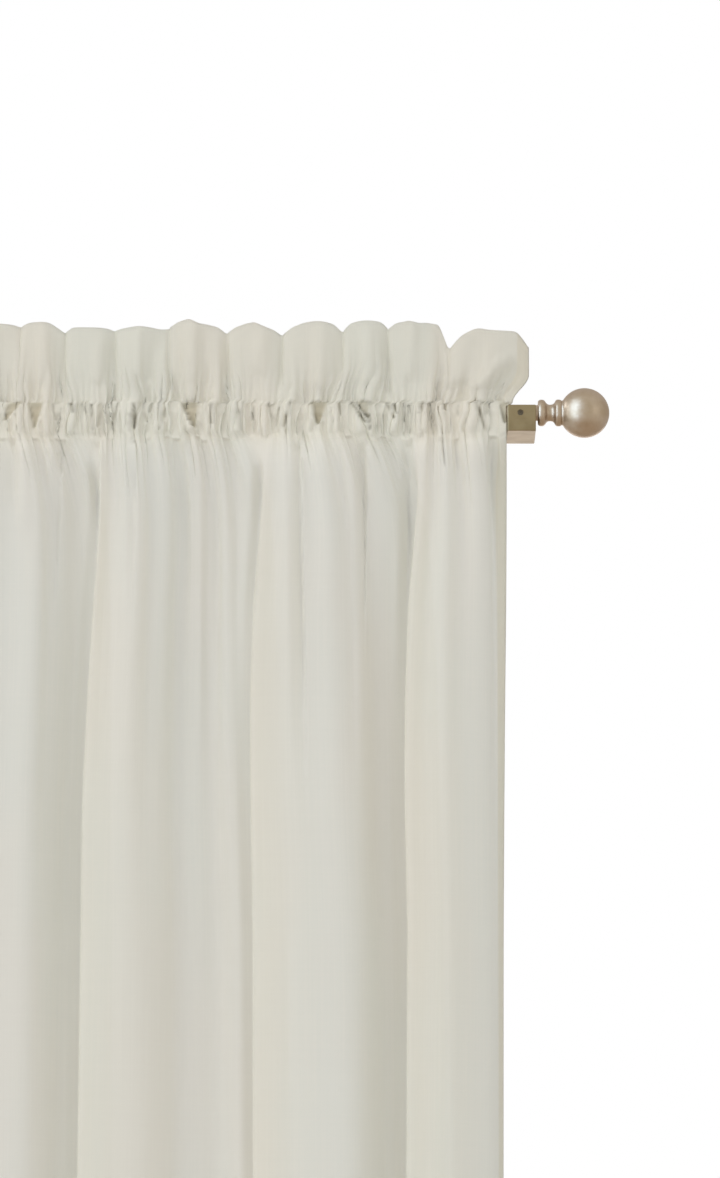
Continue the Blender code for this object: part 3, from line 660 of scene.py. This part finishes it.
def pocketRow(c, v, share, side, upperEdge, lowerEdge):
    low, high = v["lowerStitch"], v["upperStitch"]
    level = low + (high - low) * share
    z = level + seamWaver(c, v, "lower") * (1 - share) + seamWaver(c, v, "upper") * share
    seam = v["seamOut"][0] * (1 - share) + v["seamOut"][1] * share
    swell = math.sin(math.pi * share)
    rodFace = np.sqrt(np.maximum(0.0, v["rodClear"] ** 2 - z * z))
    front, back = v["pocketSwell"]
    if side < 0:
        y = -np.maximum(seam + front * swell, rodFace)
    else:
        y = np.maximum(back * swell ** 0.6 - seam, rodFace)
    fromLower, fromUpper = v["pocketOpen"]
    opened = smooth(share / fromLower) * smooth((1 - share) / fromUpper)
    medium = v["gatherShares"][1]
    x, wave = gathered(c, v, c["pocketX"], np.zeros_like(y), level, 1.0, medium, "pocket")
    even, puffed = v["pocketPuff"]
    y = y + wave + side * (even + puffed * np.sin(np.pi * c["share"]) ** 2) * opened
    fromLower, fromUpper = v["seamBlend"]
    for edge, away in ((upperEdge, (1 - share) / fromUpper), (lowerEdge, share / fromLower)):
        near = smooth(1 - away)
        x, y = x + (edge[0] - x) * near, y + (edge[1] - y) * near
    thinAndShaded, shade = np.zeros_like(x), np.zeros_like(x)
    if side < 0:
        y, thinAndShaded, shade = pleated(pleatValues, x, y, z)
        y = np.minimum(y, -np.maximum(rodFace, v["pleatFloor"]))
    else:
        y = np.maximum(y, rodFace)
    return x, y, z, thinAndShaded, np.full_like(x, v["pocketThick"]), shade


def creases(rows, x, place):
    out = np.zeros_like(x)
    for first, last, start, end, halfWidth, depth in rows:
        run = (place - start) / (end - start)
        if 0 < run < 1:
            shown = smooth(run / 0.15) * smooth((1 - run) / 0.40)       # it fades in and out along its run
            out += depth * shown * bell(x - first - (last - first) * run, halfWidth)
    return out


def steps(x, drop):
    out = np.zeros_like(x)
    for first, last, start, end, width, depth in stepRows:
        run = (drop - start) / (end - start)
        if 0 < run < 1:
            u = (x - first - (last - first) * run) / width
            tooth = np.where(u < 0, smooth(u + 1) ** 0.8, np.clip(1 - u / 0.14, 0.0, 1.0))
            out += depth * smooth(run / 0.03) * smooth((1 - run) / 0.70) * tooth
    return out


# The cloth behind a tuck's edge lies further back the nearer it comes to the edge
def behindTucks(c, v, x):
    out = np.zeros_like(x)
    for edgeOf, behind in zip(c["edgeOf"], c["behind"]):
        out += v["tuckRecess"] * smooth((x - x[edgeOf].min()) / v["recessReach"] + 1) * behind
    return out


def panelRow(c, v, drop):
    def fade(name, power=1):
        return math.exp(-(drop / v[name]) ** power)

    late = v["lateShare"]
    opened = 1 - late * fade("lateSettle") - (1 - late - v["foldStart"]) * fade("firstSettle")
    ripple = v["rippleDepth"] * fade("rippleFade") * (1 - fade("rippleStart"))
    x = c["pocketX"] + (foldedPlaces(c, v, drop) - c["pocketX"]) * opened
    y = c["foldY"] * opened + ripple * np.cos(2 * np.pi * c["share"])
    y -= v["seamOut"][0] * fade("seamOutFade")
    few, more = v["rowSmooth"]
    passes = few + int(more * fade("smoothFade"))
    x, y = blur(x, passes), blur(y, passes)
    fine = fade("fineFade", 1.2)
    small = fine if fine > 0.001 else 0.0
    medium = fade("mediumFade", 1.5) * (1 - v["gatherShares"][0] * small)
    level = v["lowerStitch"] - drop
    x, y = gathered(c, v, x, y, level, small, medium, "panel")
    recess = behindTucks(c, v, x) * (1 - fade("recessStart"))
    y = y - creases(creaseRows, x, drop) + steps(x, drop) + recess
    z = level + seamWaver(c, v, "lower") * fade("waverFade")
    return x, y, z, np.zeros_like(x), np.full_like(x, fine * v["panelThick"]), np.zeros_like(x)


# Both side hems of one row: the outer columns again, turned back behind it
def withSideHems(row, v, inward):
    count = v["sideHemColumns"]
    x, y = shifted(row[0], row[1], inward)
    turned = (x, y, *row[2:])
    return [np.concatenate((t[count:0:-1], r, t[-2:-count - 2:-1])) for t, r in zip(turned, row)]


def curtainSheet(v, made):
    c = clothColumns(v)
    hemDrop = v["finishedDrop"] - v["headingHeight"] - v["upperStitch"] + v["lowerStitch"]
    hemTop = hemDrop - v["hemHeight"]
    panelBehind, topBehind = v["sideBehind"]
    rows, lengths, marks = [], [], []

    def add(row, flatLength, inward):
        x, y, z, *marked = withSideHems(row, v, inward)
        rows.append(np.stack([x, y + rodY, z], axis=1))
        lengths.append(flatLength)
        marks.append(marked)

    for share in np.linspace(0.0, 1.0, v["hemBackRows"]):       # the hem's turned-up back layer
        row = panelRow(c, v, hemTop + v["hemHeight"] * share - v["hemLift"])
        add((*shifted(row[0], row[1], v["hemBehind"]), *row[2:]), v["hemHeight"] * share, panelBehind)
    spans = (*v["dropRows"], (v["longRows"][0], hemTop, v["longRows"][1]),
             (hemDrop - v["hemRows"][0], hemDrop, v["hemRows"][1]))
    for drop in np.concatenate([np.linspace(*span) for span in spans])[::-1]:
        add(panelRow(c, v, drop), v["hemHeight"] + hemDrop - drop, panelBehind)
    lowerEdge = panelRow(c, v, 0.0)
    upperEdge = headingRow(c, v, 0.0, 0)
    base = v["hemHeight"] + hemDrop
    front, back = v["pocketRows"]
    for share in np.linspace(0, 1, front)[1:-1]:
        row = pocketRow(c, v, share, -1, upperEdge, lowerEdge)
        add(row, base + v["pocketLength"] * share, topBehind)
    base += v["pocketLength"]
    heights = np.concatenate([np.linspace(*span) for span in v["headingRows"]])
    for height in heights:
        add(headingRow(c, v, height, -1), base + v["headingHeight"] * height, topBehind)
    base += v["headingHeight"]
    upper = v["headingRows"][1][2]       # on the back, every other one of the upper rows is left out
    for height in np.concatenate((heights[::-1][:upper:2], heights[:-upper][::-1])):
        row = headingRow(c, v, height, 1)
        add(row, base + v["topTurn"] + v["headingHeight"] * (1 - height), -topBehind)
    base += v["headingHeight"]
    for share in np.linspace(1, 0, back)[1:]:
        row = pocketRow(c, v, share, 1, upperEdge, lowerEdge)
        add(row, base + v["pocketLength"] * (1 - share), -topBehind)

    mesh = bmesh.new()
    count, total = v["sideHemColumns"], c["flat"][-1]
    flat = np.concatenate((-c["flat"][count:0:-1], c["flat"], 2 * total - c["flat"][-2:-count - 2:-1]))
    across, upward = len(flat) - 1, len(rows) - 1
    bmesh.ops.create_grid(mesh, x_segments=across, y_segments=upward, size=0.5)
    places = np.array(rows)
    uv = mesh.loops.layers.uv.new("flatCloth")
    layers = [mesh.verts.layers.float.new(name) for name in ("drawnThinAndShaded", "gathered", "pleatShade")]
    spots = {}
    for vert in mesh.verts:
        column = round((vert.co.x + 0.5) * across)
        row = round((vert.co.y + 0.5) * upward)
        spots[vert.index] = (flat[column], lengths[row])
        for layer, values in zip(layers, marks[row]):
            vert[layer] = values[column]
        vert.co = places[row, column]
    for face in mesh.faces:
        for loop in face.loops:
            loop[uv].uv = spots[loop.vert.index]
    piece = finishPiece(mesh, "voileCurtain", [made])
    print("curtain sheet:", len(rows), "rows,", len(piece.data.polygons) * 2, "triangles")
    return piece


voileValues = {
    "warmColour": (0.925, 0.895, 0.815, 1.0),
    "coolColour": (0.895, 0.905, 0.835, 1.0),
    "thickColour": (0.95, 0.925, 0.85, 1.0),
    "gatheredTint": (0.985, 0.968, 0.930, 1.0),
    "throughColour": (0.95, 0.92, 0.835, 1.0),
    "through": 0.38,             # share of the cloth's light that comes through it, scattered
    "throughGathered": 0.12,
    "open": (0.0525, 0.021),     # share of the weave that is open where it is thinnest and thickest
    "drawnOpen": 0.34,           # more of it where the cloth is drawn tight
    # painted shade: a tan darkening where the cloth is drawn tight in the pocket's wedges
    "drawnShadeColour": (0.93, 0.91, 0.81, 1.0),
    # painted shade: the darker colour down the pocket's narrow pleats and along its wedges' left sides
    "pleatShadeColour": (0.46, 0.45, 0.41, 1.0),
    "roughness": 0.85,
    "gloss": 0.2,
    "fuzz": 0.12,
    "threads": 1400.0,           # a metre
    "slub": 0.30,
    "crumple": (0.40, 0.0016),   # strength and depth of the crumpled surface beside seams and in gathers
    "yarn": (0.25, 0.0003),      # and of the yarns'
    "sideHem": 0.0185,           # side seams' stitching from the edge
    "hemStitch": 0.151,          # flat length from the hem's raw edge to its stitching, on the front
    "hemSoft": 0.0005,
    "lowerSeam": 2.093,
    "upperSeam": 2.136,
}


def voileMaterial(v):
    made, tree, shader, output = newMaterial("offWhiteVoile")
    cloth = newNode(tree, "ShaderNodeUVMap", {}, uv_map="flatCloth").outputs["UV"]
    places = newNode(tree, "ShaderNodeSeparateXYZ", {0: cloth}).outputs
    weaving = {"Vector": cloth, "Threads Per Metre": v["threads"], "Slub Strength": v["slub"]}
    threads = placeGroup(tree, weave, weaving)
    flatWidth = sum(row[2] for row in puffRows)

    seams = [("X", "Y", v["sideHem"]), ("X", "Y", flatWidth - v["sideHem"])]
    seams += [("Y", "X", v[name]) for name in ("hemStitch", "lowerSeam", "upperSeam")]
    thread = pucker = 0.0
    for across, along, at in seams:
        seam = placeGroup(tree, stitching, {"Across": places[across], "Along": places[along], "Place": at})
        thread = mathNode(tree, "MAXIMUM", thread, seam["Thread"])
        pucker = mathNode(tree, "MAXIMUM", pucker, seam["Pucker"])

    clouds = noiseNode(tree, stretched(tree, cloth, 9.0, 2.5), 1.0)
    colour = mixNode(tree, rangeNode(tree, clouds, 0.35, 0.65), v["warmColour"], v["coolColour"])
    dense = rangeNode(tree, threads["Density"], -0.4, 0.8)
    colour = mixNode(tree, mathNode(tree, "MAXIMUM", dense, thread), colour, v["thickColour"])

    # the hems' double cloth and the gathers are a little deeper in colour
    crushed = attributeNode(tree, "gathered")
    deep = rangeNode(tree, crushed, 0.0, 1.5)
    away = mathNode(tree, "ABSOLUTE", mathNode(tree, "SUBTRACT", places["X"], flatWidth / 2))
    inward = mathNode(tree, "SUBTRACT", flatWidth / 2, away)
    for place, edge in ((inward, v["sideHem"]), (places["Y"], v["hemStitch"])):
        hem = rangeNode(tree, place, edge - v["hemSoft"], edge + v["hemSoft"], 1.0, 0.0)
        deep = mathNode(tree, "MAXIMUM", deep, hem)
    colour = mixNode(tree, deep, colour, v["gatheredTint"], "MULTIPLY")
    # painted shade: darker colour where the cloth is drawn tight over the rod and down the pocket's pleats
    drawnAndShaded = attributeNode(tree, "drawnThinAndShaded")
    for mask, tone in ((drawnAndShaded, v["drawnShadeColour"]), (attributeNode(tree, "pleatShade"), v["pleatShadeColour"])):
        colour = mixNode(tree, mask, colour, tone, "MULTIPLY")

    crumple = noiseNode(tree, stretched(tree, cloth, 190.0, 62.0), 1.0, 3.0)
    creased = mathNode(tree, "MULTIPLY", crumple, mathNode(tree, "MAXIMUM", crushed, pucker))
    folds = bumpNode(tree, creased, *v["crumple"])
    yarn = mathNode(tree, "ADD", threads["Height"], mathNode(tree, "MULTIPLY", thread, 2.0))
    feed(tree, shader, {
        "Base Color": colour, "Roughness": v["roughness"], "Specular IOR Level": v["gloss"],
        "Sheen Weight": v["fuzz"], "Normal": bumpNode(tree, yarn, *v["yarn"], folds)})

    through = newNode(tree, "ShaderNodeBsdfTranslucent", {"Color": v["throughColour"]}).outputs[0]
    share = rangeNode(tree, crushed, 0.0, 1.5, v["through"], v["throughGathered"])
    solid = newNode(tree, "ShaderNodeMixShader", {0: share, 1: shader.outputs[0], 2: through}).outputs[0]
    clear = newNode(tree, "ShaderNodeBsdfTransparent", {}).outputs[0]
    openShare = mathNode(tree, "ADD", rangeNode(tree, threads["Density"], -0.5, 0.8, *v["open"]),
                         mathNode(tree, "MULTIPLY", drawnAndShaded, v["drawnOpen"]))
    sheer = newNode(tree, "ShaderNodeMixShader", {0: openShare, 1: solid, 2: clear})
    feed(tree, output, {"Surface": sheer.outputs[0]})
    return made


voile = voileMaterial(voileValues)
curtain = curtainSheet(curtainValues, voile)
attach(curtain, "root")
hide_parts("curtain")


# Metal: satin champagne nickel on rod and finials, a darker copy of it on the brackets as painted shade,
# dull steel on the screws. Each has its colour, its darker clouds' colour, and its least and greatest
# roughness.

metalValues = {
    "champagneNickel": ((0.63, 0.525, 0.43, 1.0), (0.55, 0.44, 0.33, 1.0), (0.33, 0.45)),
    # painted shade: the brackets' nickel is the champagne nickel made darker
    "shadedNickel": ((0.39, 0.315, 0.195, 1.0), (0.325, 0.255, 0.15, 1.0), (0.33, 0.45)),
    "dullSteel": ((0.20, 0.17, 0.13, 1.0), (0.11, 0.09, 0.065, 1.0), (0.32, 0.52)),
    "streaks": 900.0,
    "clouds": 55.0,
    "bump": (0.12, 0.0002),
}


def metalMaterial(name, v):
    made, tree, shader, output = newMaterial(name)
    colour, darkColour, roughness = v[name]
    place = newNode(tree, "ShaderNodeTexCoord", {}).outputs["Object"]
    scales = {"Streak Scale": v["streaks"], "Cloud Scale": v["clouds"]}
    grain = placeGroup(tree, satin, {"Vector": place, **scales})
    feed(tree, shader, {
        "Base Color": mixNode(tree, rangeNode(tree, grain["Clouds"], 0.3, 0.62), darkColour, colour),
        "Roughness": rangeNode(tree, grain["Streaks"], 0.3, 0.7, *roughness),
        "Metallic": 1.0,
        "Normal": bumpNode(tree, grain["Streaks"], *v["bump"])})
    return made


nickel = metalMaterial("champagneNickel", metalValues)
shadedCopy = metalMaterial("shadedNickel", metalValues)
steel = metalMaterial("dullSteel", metalValues)
for name, made in (("rod", nickel), ("bracket_right", shadedCopy), ("bracket_left", shadedCopy),
                   ("set_screw_right", steel), ("set_screw_left", steel)):
    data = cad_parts[name].data
    data.materials.clear()
    data.materials.append(made)
print("metal finishes set")


# Finials: turned from a profile about the rod's axis, finer than the frame's

finialValues = {
    "start": 0.0165,             # from the bracket's centre
    "ballRadius": 0.025,
    "ballCentre": 0.0467,
    "ballMouth": 0.0128,         # radius at which the ball starts from its collar
    "sides": 96,
    "ballSteps": 28,
    "profile": (
        (0.0060, 0.0), (0.0060, 0.0083), (0.0, 0.0083), (0.0, 0.0112), (0.0004, 0.0121), (0.0012, 0.0128),
        (0.0023, 0.0133), (0.0036, 0.0134), (0.0049, 0.0133), (0.0060, 0.0129), (0.0069, 0.0121),
        (0.0078, 0.0108), (0.0085, 0.0098), (0.0094, 0.0090), (0.0106, 0.0085), (0.0120, 0.0083),
        (0.0134, 0.0084), (0.0146, 0.0087), (0.0157, 0.0094), (0.0166, 0.0104), (0.0172, 0.0115),
        (0.0178, 0.0126), (0.0187, 0.0133), (0.0200, 0.0135), (0.0213, 0.0135), (0.0226, 0.0132),
        (0.0233, 0.0128), (0.0238, 0.0123),
    ),
}


def finial(name, side, v):
    direction = 1 if side == "right" else -1
    start = bracketX[side] + direction * v["start"]
    profile = list(v["profile"])
    first = math.asin(v["ballMouth"] / v["ballRadius"])
    for step in range(v["ballSteps"] + 1):
        angle = first + (math.pi - first) * step / v["ballSteps"]
        radius = v["ballRadius"] * math.sin(angle) if step < v["ballSteps"] else 0.0
        profile.append((v["ballCentre"] - v["ballRadius"] * math.cos(angle), radius))
    mesh = bmesh.new()
    points = [mesh.verts.new((start + direction * t, rodY, r)) for t, r in profile]
    edges = [mesh.edges.new(pair) for pair in zip(points, points[1:])]
    bmesh.ops.spin(mesh, geom=[*points, *edges], cent=(start, rodY, 0), axis=(1, 0, 0), angle=math.tau,
                   steps=v["sides"], use_merge=True)
    bmesh.ops.remove_doubles(mesh, verts=mesh.verts, dist=0.00001)
    bmesh.ops.recalc_face_normals(mesh, faces=mesh.faces)
    piece = finishPiece(mesh, name, [nickel])
    piece.data.set_sharp_from_angle(angle=math.radians(40))
    return piece


for side in ("right", "left"):
    knob = finial(f"turnedFinial_{side}", side, finialValues)
    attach(knob, "root")
    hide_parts(f"finial_{side}")
print("finials turned")


# Studio: pale floor, soft lights, camera at the photograph's angle

studioValues = {
    "floorHeight": -2.075,
    "floorColour": (0.86, 0.86, 0.85, 1.0),
    "frameCentre": (-0.162, rodY, -0.1788),
    "distance": 8.0,
    "lookUp": 9.0,               # degrees
    "frameHeight": 1.178,
    "ambientFront": (1.00, 1.00, 1.00, 1.0),    # light on the cloth from the room and from the wall
    "ambientBack": (0.32, 0.32, 0.32, 1.0),
    "glossFront": (0.66, 0.63, 0.54, 1.0),      # and what the metal mirrors
    "glossBack": (0.53, 0.485, 0.43, 1.0),
    "glossBelow": (0.48, 0.385, 0.28, 1.0),
    "frontToBack": ((-0.6, 0.6), (-0.6, 0.9)),     # directions over which they change, for cloth and metal
    "belowToLevel": (-0.95, -0.20),
    "backdrop": (1.0, 1.0, 1.0, 1.0),
    "lampTarget": (-0.3, rodY, -0.35),
    # each lamp: place, size, power, colour, and whether it is there for the metal or for the cloth
    "lights": (
        ("keySoftbox", (-3.4, -2.4, 0.5), (1.8, 3.4), 22.0, (1.0, 0.99, 0.97), "cloth"),
        ("windowGlow", (-3.3, -2.9, 0.6), (3.2, 7.4), 178.0, (0.52, 0.74, 1.0), "metal"),
        ("sideGlow", (-3.6, 0.6, 0.4), (2.0, 3.0), 78.0, (0.85, 0.93, 1.0), "metal"),
        ("lowGlow", (0.1, 3.0, -0.6), (2.4, 1.0), 8.5, (1.0, 0.93, 0.92), "metal"),
        ("roomGlow", (3.4, -2.6, 0.4), (0.8, 2.4), 3.0, (1.0, 0.93, 0.85), "metal"),
    ),
}


def studio(v):
    mesh = bmesh.new()
    bmesh.ops.create_grid(mesh, x_segments=8, y_segments=8, size=40.0)
    bmesh.ops.translate(mesh, verts=mesh.verts, vec=(-0.34, 0.0, v["floorHeight"]))
    paint, tree, shader, output = newMaterial("paleFloor")
    feed(tree, shader, {"Base Color": v["floorColour"], "Roughness": 0.7})
    floor = finishPiece(mesh, "paleFloorSheet", [paint])
    floor.visible_glossy = False

    world = bpy.data.worlds.new("softStudio")
    world.use_nodes = True
    bpy.context.scene.world = world
    tree = world.node_tree
    place = newNode(tree, "ShaderNodeTexCoord", {}).outputs["Generated"]
    split = newNode(tree, "ShaderNodeSeparateXYZ", {0: place}).outputs
    path = newNode(tree, "ShaderNodeLightPath", {}).outputs
    behind, mirroredBehind = (rangeNode(tree, split["Y"], *turn) for turn in v["frontToBack"])
    below = rangeNode(tree, split["Z"], *v["belowToLevel"], 1.0, 0.0)
    soft = mixNode(tree, behind, v["ambientFront"], v["ambientBack"])
    gloss = mixNode(tree, mirroredBehind, v["glossFront"], v["glossBack"])
    gloss = mixNode(tree, below, gloss, v["glossBelow"])
    seen = mixNode(tree, path["Is Glossy Ray"], soft, gloss)
    seen = mixNode(tree, path["Is Camera Ray"], seen, v["backdrop"])
    feed(tree, tree.nodes["Background"], {"Color": seen})

    target = Vector(v["lampTarget"])
    for name, place, size, power, colour, lit in v["lights"]:
        lamp = bpy.data.lights.new(name, "AREA")
        lamp.shape = "RECTANGLE"
        lamp.size, lamp.size_y = size
        lamp.energy = power
        lamp.color = colour
        made = bpy.data.objects.new(name, lamp)
        made.visible_camera = False
        made.visible_glossy = lit == "metal"
        made.visible_diffuse = made.visible_transmission = lit == "cloth"
        made.location = place
        made.rotation_euler = (target - Vector(place)).to_track_quat("-Z", "Y").to_euler()
        bpy.context.scene.collection.objects.link(made)

    lens = bpy.data.cameras.new("frontView")
    lens.lens = 36.0 * v["distance"] / v["frameHeight"]
    lens.clip_end = 60.0
    camera = bpy.data.objects.new("frontView", lens)
    tilt = math.radians(v["lookUp"])
    centre = Vector(v["frameCentre"])
    camera.location = centre + Vector((0.0, -math.cos(tilt), -math.sin(tilt))) * v["distance"]
    camera.rotation_euler = (math.pi / 2 + tilt, 0.0, 0.0)
    bpy.context.scene.collection.objects.link(camera)
    bpy.context.scene.camera = camera
    bpy.context.scene.view_settings.view_transform = "Standard"
    print("studio and camera set")


studio(studioValues)
